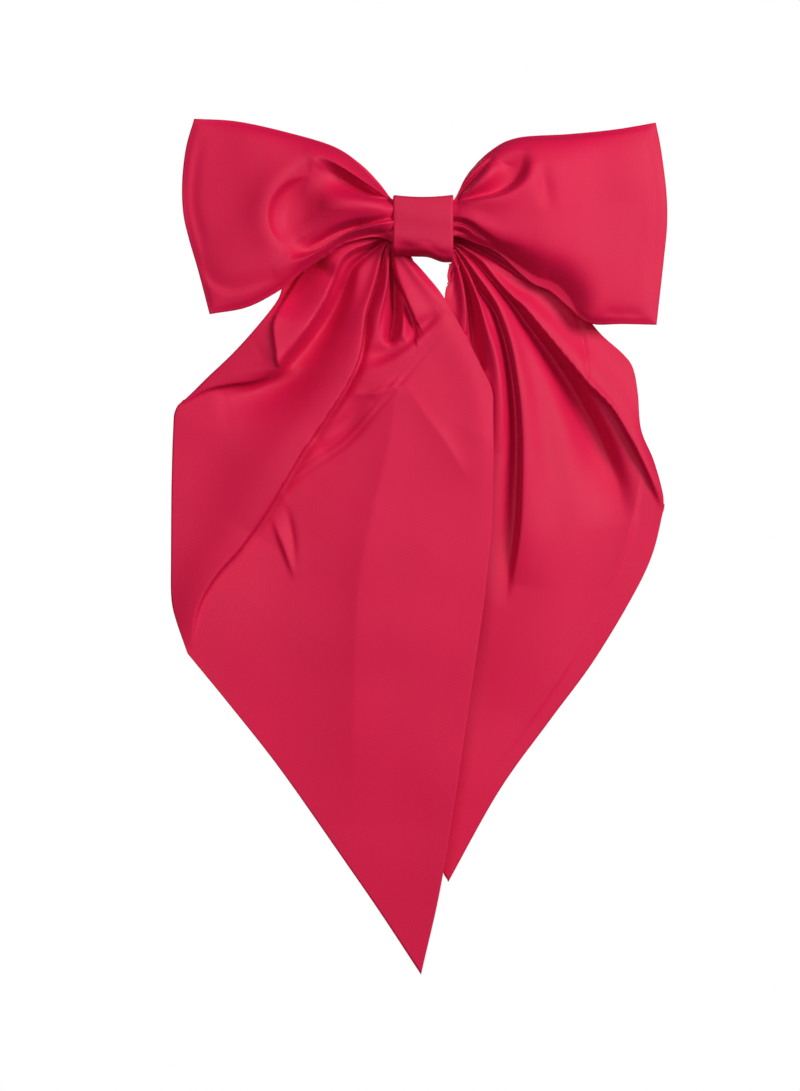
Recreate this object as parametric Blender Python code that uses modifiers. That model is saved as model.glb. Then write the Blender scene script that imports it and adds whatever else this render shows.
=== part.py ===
"""A satin hair bow with two long tails, gathered onto a sprung metal barrette.

Frame: +Z is up as the bow is worn, the bow faces -Y and the head is at +Y. The origin is the middle of
the gap that grips the hair, between the tension bar and the clasp arm. Lengths are in metres.

Build order, from the hair outwards: clasp arm, tension bar, backing plate with its catch, glue pad,
gathered middle of the tails, gathered bow panel, thread, and the knot band round all of them.
"""

import math

import bmesh
import bpy
import numpy as np
from mathutils import Matrix, Vector

MM = 0.001

# Driving dimensions of the cloth.
KNOT_WIDTH = 24.8 * MM
GATHER_HALF_HEIGHT = 9.2 * MM
PANEL_GATHER_DEPTH = 8.4 * MM
TAIL_GATHER_DEPTH = 5.6 * MM
CLOTH_EDGE = 1.2 * MM
BAND_THICKNESS = 0.9 * MM
THREAD_RADIUS = 0.35 * MM

# Driving dimensions of the barrette.
HAIR_GAP = 5.0 * MM
PLATE_LENGTH = 80.0 * MM
PLATE_WIDTH = 9.0 * MM
PLATE_THICKNESS = 0.8 * MM
PLATE_ARCH = 150.0 * MM
BAR_THICKNESS = 0.5 * MM
BAR_ARCH = 190.0 * MM
ARM_THICKNESS = 0.9 * MM
ARM_ARCH = 500.0 * MM
HINGE_X = -36.0 * MM
CATCH_X = 36.0 * MM
PIN_RADIUS = 0.7 * MM
KNUCKLE_RADIUS = 1.5 * MM
RUNNING_GAP = 0.1 * MM
GAP = 0.3 * MM

# Where each layer lies, front (-Y) to back (+Y), at the middle of the clip.
ARM_INNER_Y = HAIR_GAP / 2
BAR_REAR_Y = -HAIR_GAP / 2
BAND_REAR_Y = BAR_REAR_Y - BAR_THICKNESS - 0.9 * MM
PLATE_SAG = (KNOT_WIDTH / 2) ** 2 / (2 * PLATE_ARCH)
PLATE_REAR_Y = BAND_REAR_Y - BAND_THICKNESS - 0.2 * MM - PLATE_SAG
PLATE_FRONT_Y = PLATE_REAR_Y - PLATE_THICKNESS
GLUE_REAR_Y = PLATE_FRONT_Y - GAP
GLUE_THICKNESS = 1.0 * MM
THREAD_REAR_Y = GLUE_REAR_Y - GLUE_THICKNESS - 0.5 * MM
TAIL_GATHER_REAR_Y = THREAD_REAR_Y - 2 * THREAD_RADIUS - GAP
TAIL_GATHER_FRONT_Y = TAIL_GATHER_REAR_Y - TAIL_GATHER_DEPTH
PANEL_GATHER_REAR_Y = TAIL_GATHER_FRONT_Y - 2 * GAP
PANEL_GATHER_FRONT_Y = PANEL_GATHER_REAR_Y - PANEL_GATHER_DEPTH
THREAD_FRONT_Y = PANEL_GATHER_FRONT_Y - GAP - 2 * THREAD_RADIUS
BAND_INNER_FRONT_Y = THREAD_FRONT_Y - GAP
BAND_FRONT_Y = BAND_INNER_FRONT_Y - BAND_THICKNESS
PIN_Y = ARM_INNER_Y + HINGE_X**2 / (2 * ARM_ARCH) + ARM_THICKNESS - KNUCKLE_RADIUS

# The bow panel's top and bottom edges from left to right, in millimetres of X and Z. The two middle
# stations are the sides of the knot.
PANEL_TOP = [
    (-94, 43.3), (-75, 42.3), (-55, 37.5), (-36, 32.5), (-24, 24.7), (-16, 14.5), (-12.8, 9.2),
    (12.8, 9.2), (16, 14), (27.6, 30), (38, 35.9), (56.5, 38.4), (87, 40.4), (96, 42.1),
]
PANEL_BOTTOM = [
    (-87.4, -37.1), (-72, -34.5), (-57, -26.8), (-38.4, -16), (-25, -11), (-16, -9), (-12.8, -9.2),
    (12.8, -9.2), (16, -9), (30, -12), (48, -19.5), (62, -31), (78, -40.5), (95.7, -41.2),
]
# How far the panel's two faces stand in front of and behind its seam, at the same stations.
PANEL_FRONT_PUFF = [0.6, 7, 11, 12, 10, 6.5, 4.2, 4.2, 6.5, 10, 12, 11, 7, 0.6]
PANEL_BACK_PUFF = [0.6, 3.2, 4.2, 4.4, 4.3, 4.2, 4.2, 4.2, 4.2, 4.3, 4.4, 4.2, 3.2, 0.6]
PANEL_END_BULGE = 6.0 * MM

# The outer and inner edge of each tail from the knot to its cut end, in millimetres of X and Z.
LEFT_TAIL_OUTER = [(-14, 3), (-30, -8), (-58, -29), (-100, -70), (-104, -100), (-104.7, -140), (-98, -176)]
LEFT_TAIL_INNER = [(-14, -8.8), (-13.6, -14.5), (9, -37), (27, -70), (27.5, -120), (24, -170), (-0.4, -307.7)]
RIGHT_TAIL_OUTER = [(14, 3), (34, -12), (68, -38), (88, -64), (90, -84), (98, -105), (99.8, -117)]
RIGHT_TAIL_INNER = [(14, -8.8), (14, -22), (12, -40), (8, -80), (6, -130), (6, -190), (10.7, -271.4)]
TAIL_TOP_THICKNESS = 5.2 * MM
TAIL_END_THICKNESS = 3.2 * MM
PLEATS = 5
PLEAT_DEPTH = 1.1 * MM

SATIN = (0.60, 0.02, 0.07)
THREAD_RED = (0.50, 0.02, 0.06)
STEEL = (0.72, 0.71, 0.69)


# Scene and objects ---------------------------------------------------------------------------------


def clear_scene():
    for item in list(bpy.data.objects):
        bpy.data.objects.remove(item, do_unlink=True)


def new_collection(name):
    collection = bpy.data.collections.new(name)
    bpy.context.scene.collection.children.link(collection)
    return collection


def new_material(name, colour, roughness, metallic=0.0):
    material = bpy.data.materials.new(name)
    material.use_nodes = True
    shader = material.node_tree.nodes["Principled BSDF"]
    shader.inputs["Base Color"].default_value = (*colour, 1.0)
    shader.inputs["Roughness"].default_value = roughness
    shader.inputs["Metallic"].default_value = metallic
    return material


def new_object(name, data, collection):
    item = bpy.data.objects.new(name, data)
    collection.objects.link(item)
    return item


def finish_part(item, material, pivot=(0.0, 0.0, 0.0)):
    """Gives a part its material and smooth round faces, and puts its origin on its joint's axis."""
    item.data.materials.clear()
    item.data.materials.append(material)
    if item.type == "MESH":
        item.data.transform(Matrix.Translation(-Vector(pivot)) @ item.matrix_world)
        item.matrix_world = Matrix.Translation(pivot)
        item.data.shade_smooth()
        item.data.set_sharp_from_angle(angle=math.radians(35))
    return item


def make_helper(item):
    """A shape that only cuts or joins another one."""
    item.hide_render = True
    item.display_type = "WIRE"
    return item


def combine(item, helper, operation):
    modifier = item.modifiers.new(f"{operation.lower()} {helper.name}", "BOOLEAN")
    modifier.operation = operation
    modifier.object = helper


# Outlines ------------------------------------------------------------------------------------------

# How each plane's outline is turned: the outline's own X and Y become the two named axes.
PLANE_TURN = {
    "XY": (0.0, 0.0, 0.0),
    "XZ": (math.pi / 2, 0.0, 0.0),
    "YZ": (math.pi / 2, 0.0, math.pi / 2),
}


def rounded(corners, radius, steps=4):
    """A closed outline through these corners, each rounded with an arc of that radius."""
    points = []
    for before, corner, after in zip(corners[-1:] + corners[:-1], corners, corners[1:] + corners[:1]):
        here = Vector(corner)
        to_before = (Vector(before) - here).normalized()
        to_after = (Vector(after) - here).normalized()
        half_angle = to_before.angle(to_after) / 2
        reach = radius / math.tan(half_angle)
        centre = here + (to_before + to_after).normalized() * radius / math.sin(half_angle)
        start = here + to_before * reach - centre
        end = here + to_after * reach - centre
        turn = start.angle_signed(end)
        points += [tuple(centre + start @ Matrix.Rotation(turn * n / steps, 2)) for n in range(steps + 1)]
    return points


def circle(centre, radius, steps=20):
    turn = 2 * math.pi / steps
    return [
        (centre[0] + radius * math.cos(i * turn), centre[1] + radius * math.sin(i * turn))
        for i in range(steps)
    ]


def slab(name, outlines, plane, middle, half_depth, collection):
    """A flat plate: its outline and holes lie in the plane, at `middle` along the third axis."""
    curve = bpy.data.curves.new(name, "CURVE")
    curve.dimensions = "2D"
    curve.fill_mode = "BOTH"
    curve.extrude = half_depth
    for outline in outlines:
        spline = curve.splines.new("POLY")
        spline.points.add(len(outline) - 1)
        for point, (a, b) in zip(spline.points, outline):
            point.co = (a, b, 0.0, 1.0)
        spline.use_cyclic_u = True
    item = new_object(name, curve, collection)
    item.rotation_euler = PLANE_TURN[plane]
    third_axis = {"XY": (0, 0, 1), "XZ": (0, 1, 0), "YZ": (1, 0, 0)}[plane]
    item.location = Vector(third_axis) * middle
    return as_mesh(item, collection)


def as_mesh(curve_object, collection):
    """The curve object's solid as a mesh object, with its caps welded to its sides."""
    bpy.context.view_layer.update()
    graph = bpy.context.evaluated_depsgraph_get()
    mesh = bpy.data.meshes.new_from_object(curve_object.evaluated_get(graph))
    shape = bmesh.new()
    shape.from_mesh(mesh)
    bmesh.ops.remove_doubles(shape, verts=shape.verts, dist=1e-6)
    bmesh.ops.recalc_face_normals(shape, faces=shape.faces)
    shape.to_mesh(mesh)
    shape.free()
    name = curve_object.name
    place = curve_object.matrix_world.copy()
    bpy.data.objects.remove(curve_object)
    item = new_object(name, mesh, collection)
    item.matrix_world = place
    return item


def arc_y(x, middle_y, arch):
    """Y of an arched strip's face at x: the ends curve towards the head."""
    return middle_y + arch - math.sqrt(arch**2 - x**2)


def arched_strip(name, arch, middle_y, thickness, x_from, x_to, width, collection, steps=18):
    """A strip bent to a shallow arch. Its rear face passes through middle_y at the middle of the clip."""
    centre = middle_y + arch
    angles = np.linspace(math.asin(x_from / arch), math.asin(x_to / arch), steps + 1)
    rear = [(arch * math.sin(a), centre - arch * math.cos(a)) for a in angles]
    outer = arch + thickness
    front = [(outer * math.sin(a), centre - outer * math.cos(a)) for a in angles[::-1]]
    return slab(name, [rear + front], "XY", 0.0, width / 2, collection)


def pin_solid(name, profile, collection, steps=24):
    """A turned shape about its own Z axis. The profile of (radius, height) runs from top to bottom."""
    mesh = bpy.data.meshes.new(name)
    points = [(radius, 0.0, height) for radius, height in profile]
    edges = [(i, i + 1) for i in range(len(points) - 1)]
    mesh.from_pydata(points, edges, [])
    item = new_object(name, mesh, collection)
    screw = item.modifiers.new("turn", "SCREW")
    screw.steps = steps
    screw.render_steps = steps
    screw.use_merge_vertices = True
    screw.merge_threshold = 1e-6
    return item


def cylinder(name, radius, length, collection, steps=24):
    mesh = bpy.data.meshes.new(name)
    shape = bmesh.new()
    bmesh.ops.create_cone(
        shape, cap_ends=True, segments=steps, radius1=radius, radius2=radius, depth=length
    )
    shape.to_mesh(mesh)
    shape.free()
    return new_object(name, mesh, collection)


def tube_along(name, points, radius, collection, resolution=1):
    """A round thread through these points."""
    curve = bpy.data.curves.new(name, "CURVE")
    curve.dimensions = "3D"
    curve.bevel_depth = radius
    curve.bevel_resolution = resolution
    curve.use_fill_caps = True
    spline = curve.splines.new("POLY")
    spline.points.add(len(points) - 1)
    for point, place in zip(spline.points, points):
        point.co = (*place, 1.0)
    return as_mesh(new_object(name, curve, collection), collection)


# Cloth solids --------------------------------------------------------------------------------------


def smooth_line(points, count):
    """`count` points along a smooth curve through these points, as (count, n) numbers in metres."""
    knots = np.array(points, float) * MM
    padded = np.vstack([2 * knots[0] - knots[1], knots, 2 * knots[-1] - knots[-2]])
    places = np.linspace(0, len(knots) - 1 - 1e-9, count)
    which = places.astype(int)
    t = (places - which)[:, None]
    a, b, c, d = (padded[which + k] for k in range(4))
    bend = 2 * b + (c - a) * t + (2 * a - 5 * b + 4 * c - d) * t**2 + (3 * b - a - 3 * c + d) * t**3
    return bend / 2


def quilt(name, front, back, collection):
    """A closed solid between two grids of points of the same shape, joined by a rim all round."""
    rows, columns = front.shape[:2]
    points = np.concatenate([front.reshape(-1, 3), back.reshape(-1, 3)])
    index = np.arange(rows * columns).reshape(rows, columns)
    faces = []
    for r in range(rows - 1):
        for c in range(columns - 1):
            square = (index[r, c], index[r, c + 1], index[r + 1, c + 1], index[r + 1, c])
            faces.append(square)
            faces.append(tuple(n + rows * columns for n in reversed(square)))
    rim = [index[0, c] for c in range(columns)] + [index[r, -1] for r in range(1, rows)]
    rim += [index[-1, c] for c in range(columns - 2, -1, -1)] + [index[r, 0] for r in range(rows - 2, 0, -1)]
    for here, there in zip(rim, rim[1:] + rim[:1]):
        faces.append((there, here, here + rows * columns, there + rows * columns))
    mesh = bpy.data.meshes.new(name)
    mesh.from_pydata(points.tolist(), [], [tuple(int(n) for n in face) for face in faces])
    shape = bmesh.new()
    shape.from_mesh(mesh)
    bmesh.ops.recalc_face_normals(shape, faces=shape.faces)
    shape.to_mesh(mesh)
    shape.free()
    return new_object(name, mesh, collection)


def bow_panel(collection, satin):
    """The sewn bag of the two loops, puffed outside the knot and squeezed flat inside it."""
    columns, rows = 40, 11
    top = smooth_line(PANEL_TOP, columns)
    bottom = smooth_line(PANEL_BOTTOM, columns)
    stations = np.linspace(0, 1, len(PANEL_TOP))
    along = np.linspace(0, 1, columns)
    front_puff = np.interp(along, stations, PANEL_FRONT_PUFF) * MM
    back_puff = np.interp(along, stations, PANEL_BACK_PUFF) * MM
    seam_y = (PANEL_GATHER_FRONT_Y + PANEL_GATHER_REAR_Y) / 2
    height = np.linspace(-1, 1, rows)
    front = np.zeros((rows, columns, 3))
    back = np.zeros((rows, columns, 3))
    for row, t in enumerate(height):
        flat = bottom + (top - bottom) * (t + 1) / 2
        in_knot = np.abs(flat[:, 0]) < KNOT_WIDTH / 2 + 0.6 * MM
        flat[in_knot, 1] = np.clip(flat[in_knot, 1], -GATHER_HALF_HEIGHT, GATHER_HALF_HEIGHT)
        bulge = PANEL_END_BULGE * (1 - t**2) * (2 * along - 1) ** 9
        swell = np.where(in_knot, 1.0, 1 - abs(t) ** 2.5)
        edge = CLOTH_EDGE / 2
        for grid, side, puff in ((front, -1, front_puff), (back, 1, back_puff)):
            grid[row, :, 0] = flat[:, 0] + bulge
            grid[row, :, 1] = seam_y + side * np.maximum(puff * swell, edge)
            grid[row, :, 2] = flat[:, 1]
    return finish_part(quilt("bow_panel", front, back, collection), satin)


def tail(name, outer_edge, inner_edge, outer_y, inner_y, collection, satin):
    """A pleated tail. It leaves the gather at the knot's side and lies flatter towards its cut end."""
    rows, columns = 18, 21
    outer = smooth_line(outer_edge, rows)
    inner = smooth_line(inner_edge, rows)
    across = np.linspace(0, 1, columns)
    gather_y = (TAIL_GATHER_FRONT_Y + TAIL_GATHER_REAR_Y) / 2
    front = np.zeros((rows, columns, 3))
    back = np.zeros((rows, columns, 3))
    for row, down in enumerate(np.linspace(0, 1, rows)):
        flat = outer[row] + (inner[row] - outer[row]) * across[:, None]
        away = min(1.0, max(0.0, down - 0.03) / 0.3)
        settle = away * away * (3 - 2 * away)
        over = np.minimum(1, across / 0.5)
        lie_y = outer_y + (inner_y - outer_y) * over * over * (3 - 2 * over)
        middle = gather_y + (lie_y - gather_y) * settle
        middle = middle + PLEAT_DEPTH * (1 - down) * away * np.cos(2 * math.pi * PLEATS * across)
        thickness = TAIL_TOP_THICKNESS + (TAIL_END_THICKNESS - TAIL_TOP_THICKNESS) * down
        for grid, side in ((front, -1), (back, 1)):
            grid[row, :, 0] = flat[:, 0]
            grid[row, :, 1] = middle + side * thickness / 2
            grid[row, :, 2] = flat[:, 1]
    pivot = (float(outer[0, 0]), gather_y, float(outer[0, 1] + inner[0, 1]) / 2)
    return finish_part(quilt(name, front, back, collection), satin, pivot)


def tail_gather(collection, satin):
    """The middle of the tail strip, gathered flat behind the bow panel inside the knot."""
    half_width = KNOT_WIDTH / 2 + 0.2 * MM
    folds = [
        (-GATHER_HALF_HEIGHT, TAIL_GATHER_FRONT_Y), (-GATHER_HALF_HEIGHT, TAIL_GATHER_REAR_Y),
        (GATHER_HALF_HEIGHT, TAIL_GATHER_REAR_Y), (GATHER_HALF_HEIGHT, TAIL_GATHER_FRONT_Y),
    ]
    outline = rounded([(y, z) for z, y in folds], TAIL_GATHER_DEPTH * 0.4)
    return finish_part(slab("tail_gather", [outline], "YZ", 0.0, half_width, collection), satin)


def knot_band(collection, satin):
    """The strip wrapped round the gather and the backing plate. It is narrower behind the plate."""
    inner_half_height = GATHER_HALF_HEIGHT + 2 * THREAD_RADIUS + 2 * GAP
    rear_half_height = PLATE_WIDTH / 2 + 1.6 * MM
    waist_y = TAIL_GATHER_REAR_Y + 0.6 * MM

    def ring(grow, radius):
        front = BAND_INNER_FRONT_Y - grow
        rear = BAND_REAR_Y - BAND_THICKNESS + grow
        tall, short = inner_half_height + grow, rear_half_height + grow
        return rounded(
            [(front, tall), (front, -tall), (waist_y, -tall), (rear, -short), (rear, short), (waist_y, tall)],
            radius,
        )

    outlines = [ring(BAND_THICKNESS, 1.6 * MM), ring(0.0, 0.9 * MM)]
    return finish_part(slab("knot_band", outlines, "YZ", 0.0, KNOT_WIDTH / 2, collection), satin)


def gather_thread(collection, thread):
    """Thread wound round both gathers, under the knot band."""
    turns, pitch = 4, 1.1 * MM
    front = THREAD_FRONT_Y + THREAD_RADIUS
    rear = THREAD_REAR_Y - THREAD_RADIUS
    half_height = GATHER_HALF_HEIGHT + GAP + THREAD_RADIUS
    corners = [(front, half_height), (front, -half_height), (rear, -half_height), (rear, half_height)]
    one_turn = rounded(corners, 1.0 * MM, 2)
    steps = len(one_turn)
    points = []
    for i in range(turns * steps):
        y, z = one_turn[i % steps]
        points.append(((i / steps - turns / 2) * pitch, y, z))
    return finish_part(tube_along("gather_thread", points, THREAD_RADIUS, collection), thread)


def glue_pad(collection, glue):
    """The bead of glue that holds the gather to the front of the backing plate."""
    half_width, half_height = 10.5 * MM, 3.6 * MM
    corners = [(-half_width, -half_height), (half_width, -half_height)]
    corners += [(half_width, half_height), (-half_width, half_height)]
    middle = GLUE_REAR_Y - GLUE_THICKNESS / 2
    outline = rounded(corners, 1.2 * MM)
    return finish_part(slab("glue_pad", [outline], "XZ", middle, GLUE_THICKNESS / 2, collection), glue)


def band_stitches(collection, thread):
    """Whip stitches that close the band's overlap, across its rear face."""
    radius, stitches = 0.2 * MM, 6
    y = BAND_REAR_Y + radius + 0.15 * MM
    half_height, slant = 1.3 * MM, 1.5 * MM
    start = -stitches * slant
    points = []
    for i in range(2 * stitches + 1):
        side = 1 if i % 2 else -1
        points.append((start + i * slant, y, side * half_height))
    return finish_part(tube_along("band_stitches", points, radius, collection), thread)


# Barrette ------------------------------------------------------------------------------------------


def ear_outline():
    """The hinge ear's side view: a tab from the plate to just past the pin."""
    foot = arc_y(HINGE_X, PLATE_REAR_Y, PLATE_ARCH) - PLATE_THICKNESS / 2
    half = 2.3 * MM
    top = PIN_Y + 1.7 * MM
    corners = [(HINGE_X - half, foot), (HINGE_X + half, foot), (HINGE_X + 1.7 * MM, top)]
    return rounded([*corners, (HINGE_X - 1.7 * MM, top)], 0.5 * MM, 3)


def backing_plate(collection, helpers, steel):
    """The arched plate, with sewing holes at its ends and two ears folded back for the hinge pin."""
    strip = arched_strip(
        "backing_plate", PLATE_ARCH, PLATE_REAR_Y, PLATE_THICKNESS,
        -PLATE_LENGTH / 2, PLATE_LENGTH / 2, PLATE_WIDTH + 2 * MM, collection,
    )
    half_length, half_width = PLATE_LENGTH / 2 - 0.5 * MM, PLATE_WIDTH / 2
    corners = [(-half_length, -half_width), (half_length, -half_width)]
    corners += [(half_length, half_width), (-half_length, half_width)]
    holes = [circle((side * x, 0.0), 0.9 * MM, 14) for side in (-1, 1) for x in (22 * MM, 27 * MM)]
    plan = slab("plate_plan", [rounded(corners, 3 * MM), *holes], "XZ", 0.0, 12 * MM, helpers)
    combine(strip, make_helper(plan), "INTERSECT")
    ear_thickness = 0.8 * MM
    ear_z = half_width - ear_thickness / 2 - 0.1 * MM
    for name, z in (("ear_upper", ear_z), ("ear_lower", -ear_z)):
        ear = slab(name, [ear_outline()], "XY", z, ear_thickness / 2, helpers)
        combine(strip, make_helper(ear), "UNION")
    pin_hole = cylinder("pin_hole", PIN_RADIUS + RUNNING_GAP, PLATE_WIDTH + 4 * MM, helpers)
    pin_hole.location = (HINGE_X, PIN_Y, 0.0)
    combine(strip, make_helper(pin_hole), "DIFFERENCE")
    combine(strip, rivet_hole(helpers), "DIFFERENCE")
    return finish_part(strip, steel)


def catch_place():
    """The catch's own frame on the arched plate's rear face: its Y stands square to the plate."""
    lean = math.asin(CATCH_X / PLATE_ARCH)
    spot = (CATCH_X, arc_y(CATCH_X, PLATE_REAR_Y, PLATE_ARCH), 0.0)
    return Matrix.Translation(spot) @ Matrix.Rotation(lean, 4, "Z")


def rivet_place():
    return catch_place() @ Matrix.Rotation(-math.pi / 2, 4, "X")


def rivet_hole(helpers):
    found = bpy.data.objects.get("rivet_hole")
    if found:
        return found
    hole = cylinder("rivet_hole", 0.8 * MM, 6 * MM, helpers)
    hole.matrix_world = rivet_place()
    return make_helper(hole)


def hinge_pin(collection, steel):
    """A rivet through both ears, headed at each end."""
    shank_half, head, head_radius = PLATE_WIDTH / 2 + 0.1 * MM, 0.5 * MM, 1.15 * MM
    top = shank_half + head
    profile = [(0.0, top), (head_radius * 0.7, top), (head_radius, top - 0.15 * MM)]
    profile += [(head_radius, shank_half), (PIN_RADIUS, shank_half)]
    profile += [(radius, -height) for radius, height in profile[::-1]]
    pin = pin_solid("hinge_pin", profile, collection)
    pin.location = (HINGE_X, PIN_Y, 0.0)
    pin.data.materials.append(steel)
    pin.data.shade_smooth()
    return pin


def clasp_arm(collection, helpers, steel):
    """The arm that closes behind the hair: a knuckle on the pin, a bowed bar and a window at its tip."""
    tip_x, window_end, window_start, neck_x = 42 * MM, 38 * MM, 31.6 * MM, -31 * MM
    neck_half, bar_half, tip_half, window_half = 1.8 * MM, 2.5 * MM, 4.0 * MM, 2.6 * MM
    strip = arched_strip(
        "clasp_arm", ARM_ARCH, ARM_INNER_Y + ARM_THICKNESS, ARM_THICKNESS, HINGE_X, tip_x, 10 * MM, collection,
        12,
    )
    upper = [(HINGE_X - MM, neck_half), (neck_x - MM, neck_half), (neck_x + MM, bar_half)]
    upper += [(27 * MM, bar_half), (29.8 * MM, tip_half), (tip_x - 0.2 * MM, tip_half)]
    outline = rounded([*upper, *[(x, -z) for x, z in upper[::-1]]], 0.7 * MM, 3)
    window_corners = [(window_start, -window_half), (window_end, -window_half)]
    window_corners += [(window_end, window_half), (window_start, window_half)]
    window = rounded(window_corners, 0.5 * MM, 2)
    plan = slab("arm_plan", [outline, window], "XZ", 0.0, 12 * MM, helpers)
    combine(strip, make_helper(plan), "INTERSECT")
    knuckle = cylinder("arm_knuckle", KNUCKLE_RADIUS, 2 * neck_half - 0.1 * MM, helpers)
    knuckle.location = (HINGE_X, PIN_Y, 0.0)
    combine(strip, make_helper(knuckle), "UNION")
    bore = cylinder("arm_bore", PIN_RADIUS + RUNNING_GAP, 10 * MM, helpers)
    bore.location = knuckle.location
    combine(strip, make_helper(bore), "DIFFERENCE")
    return finish_part(strip, steel, (HINGE_X, PIN_Y, 0.0))


def tension_bar(collection, helpers, steel):
    """The leaf spring that presses the hair onto the arm. Its two hooks hang on the hinge pin."""
    start, end = HINGE_X + 0.8 * MM, 31 * MM
    hook_inner, hook_outer = 2.1 * MM, 3.2 * MM
    strip = arched_strip(
        "tension_bar", BAR_ARCH, BAR_REAR_Y, BAR_THICKNESS, start, end, 10 * MM, collection
    )
    upper = [(start - MM, hook_outer), (-31 * MM, hook_outer), (-27 * MM, 2.7 * MM)]
    upper += [(27 * MM, 2.7 * MM), (end - 0.2 * MM, 1.8 * MM)]
    outline = rounded([*upper, *[(x, -z) for x, z in upper[::-1]]], 0.6 * MM, 3)
    plan = slab("bar_plan", [outline], "XZ", 0.0, 12 * MM, helpers)
    combine(strip, make_helper(plan), "INTERSECT")
    hook_z = (hook_inner + hook_outer) / 2
    hook_half = (hook_outer - hook_inner) / 2 - 0.05 * MM
    foot = arc_y(start, BAR_REAR_Y, BAR_ARCH) - BAR_THICKNESS / 2
    for name, z in (("hook_upper", hook_z), ("hook_lower", -hook_z)):
        ring = cylinder(name, 1.4 * MM, 2 * hook_half, helpers)
        ring.location = (HINGE_X, PIN_Y, z)
        combine(strip, make_helper(ring), "UNION")
        leg_x = start + 0.5 * MM
        leg = [(leg_x - 0.9 * MM, foot), (leg_x, foot), (leg_x, PIN_Y - 0.2 * MM), (leg_x - 0.9 * MM, PIN_Y)]
        strut = slab(f"{name}_leg", [leg], "XY", z, hook_half - 0.05 * MM, helpers)
        combine(strip, make_helper(strut), "UNION")
    bore = cylinder("bar_bore", PIN_RADIUS + RUNNING_GAP, 12 * MM, helpers)
    bore.location = (HINGE_X, PIN_Y, 0.0)
    combine(strip, make_helper(bore), "DIFFERENCE")
    return finish_part(strip, steel, (HINGE_X, PIN_Y, 0.0))


CATCH_THICKNESS = 0.5 * MM


def catch_base(collection, helpers, steel):
    """The foot of the catch, riveted behind the plate."""
    arch = PLATE_ARCH - 0.2 * MM - CATCH_THICKNESS
    rear = PLATE_REAR_Y + 0.2 * MM + CATCH_THICKNESS
    strip = arched_strip(
        "catch_base", arch, rear, CATCH_THICKNESS, CATCH_X - 3.4 * MM, CATCH_X + 3.2 * MM, 6.4 * MM,
        collection, 4,
    )
    combine(strip, rivet_hole(helpers), "DIFFERENCE")
    return finish_part(strip, steel)


def catch_rivet(collection, steel):
    """The rivet that holds the catch's foot to the plate."""
    rear = 0.2 * MM + CATCH_THICKNESS + 0.15 * MM
    front = -PLATE_THICKNESS - 0.15 * MM
    head, head_radius, shank = 0.45 * MM, 1.15 * MM, 0.65 * MM
    profile = [(0.0, rear + head), (0.8 * MM, rear + head), (head_radius, rear + 0.2 * MM)]
    profile += [(head_radius, rear), (shank, rear), (shank, front), (head_radius, front)]
    profile += [(head_radius, front - 0.2 * MM), (0.8 * MM, front - head), (0.0, front - head)]
    rivet = pin_solid("catch_rivet", profile, collection, 20)
    rivet.matrix_world = rivet_place()
    rivet.data.materials.append(steel)
    rivet.data.shade_smooth()
    return rivet


def catch_prong(name, side, collection, steel):
    """One sprung leg of the catch. It stands through the arm's window, with a barb behind the arm."""
    root = 0.2 * MM + CATCH_THICKNESS + GAP
    arm_rear = 6.1 * MM
    tip = arm_rear + 3.0 * MM
    inner, outer, barb = 1.55 * MM, 2.05 * MM, 2.45 * MM
    profile = [
        (root, inner), (tip, inner), (tip, outer - 0.1 * MM), (arm_rear + 1.2 * MM, barb),
        (arm_rear + 0.4 * MM, barb), (arm_rear + 0.2 * MM, outer), (root, outer),
    ]
    prong = slab(name, [[(y, side * z) for y, z in profile]], "YZ", 0.0, 1.75 * MM, collection)
    prong.matrix_world = catch_place() @ prong.matrix_world
    pivot = catch_place() @ Vector((0.0, root, side * (inner + outer) / 2))
    return finish_part(prong, steel, pivot)


# Assembly ------------------------------------------------------------------------------------------


def main():
    clear_scene()
    parts = new_collection("hair_bow")
    helpers = new_collection("cutters")
    satin = new_material("satin", SATIN, 0.35)
    thread = new_material("thread", THREAD_RED, 0.6)
    glue = new_material("glue", (0.85, 0.82, 0.72), 0.4)
    steel = new_material("steel", STEEL, 0.28, 1.0)

    bow_panel(parts, satin)
    tail_gather(parts, satin)
    tail("tail_left", LEFT_TAIL_OUTER, LEFT_TAIL_INNER, -8.8 * MM, -19.0 * MM, parts, satin)
    tail("tail_right", RIGHT_TAIL_OUTER, RIGHT_TAIL_INNER, -8.8 * MM, -8.0 * MM, parts, satin)
    knot_band(parts, satin)
    band_stitches(parts, thread)
    gather_thread(parts, thread)
    glue_pad(parts, glue)
    backing_plate(parts, helpers, steel)
    hinge_pin(parts, steel)
    clasp_arm(parts, helpers, steel)
    tension_bar(parts, helpers, steel)
    catch_base(parts, helpers, steel)
    catch_rivet(parts, steel)
    catch_prong("catch_prong_upper", 1, parts, steel)
    catch_prong("catch_prong_lower", -1, parts, steel)


main()
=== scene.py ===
"""The finished look of the satin hair bow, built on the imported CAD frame.

The cloth is sculpted in code. Each cloth surface starts as a smooth patch between its edges, and the folds
are laid on it one by one: a fold is a path across the cloth, seen from the front as (x, z) in millimetres,
with a lift towards the viewer and a width on each side. Lengths are millimetres up to the point where a
mesh is made, and metres after that.
"""

import math

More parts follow.
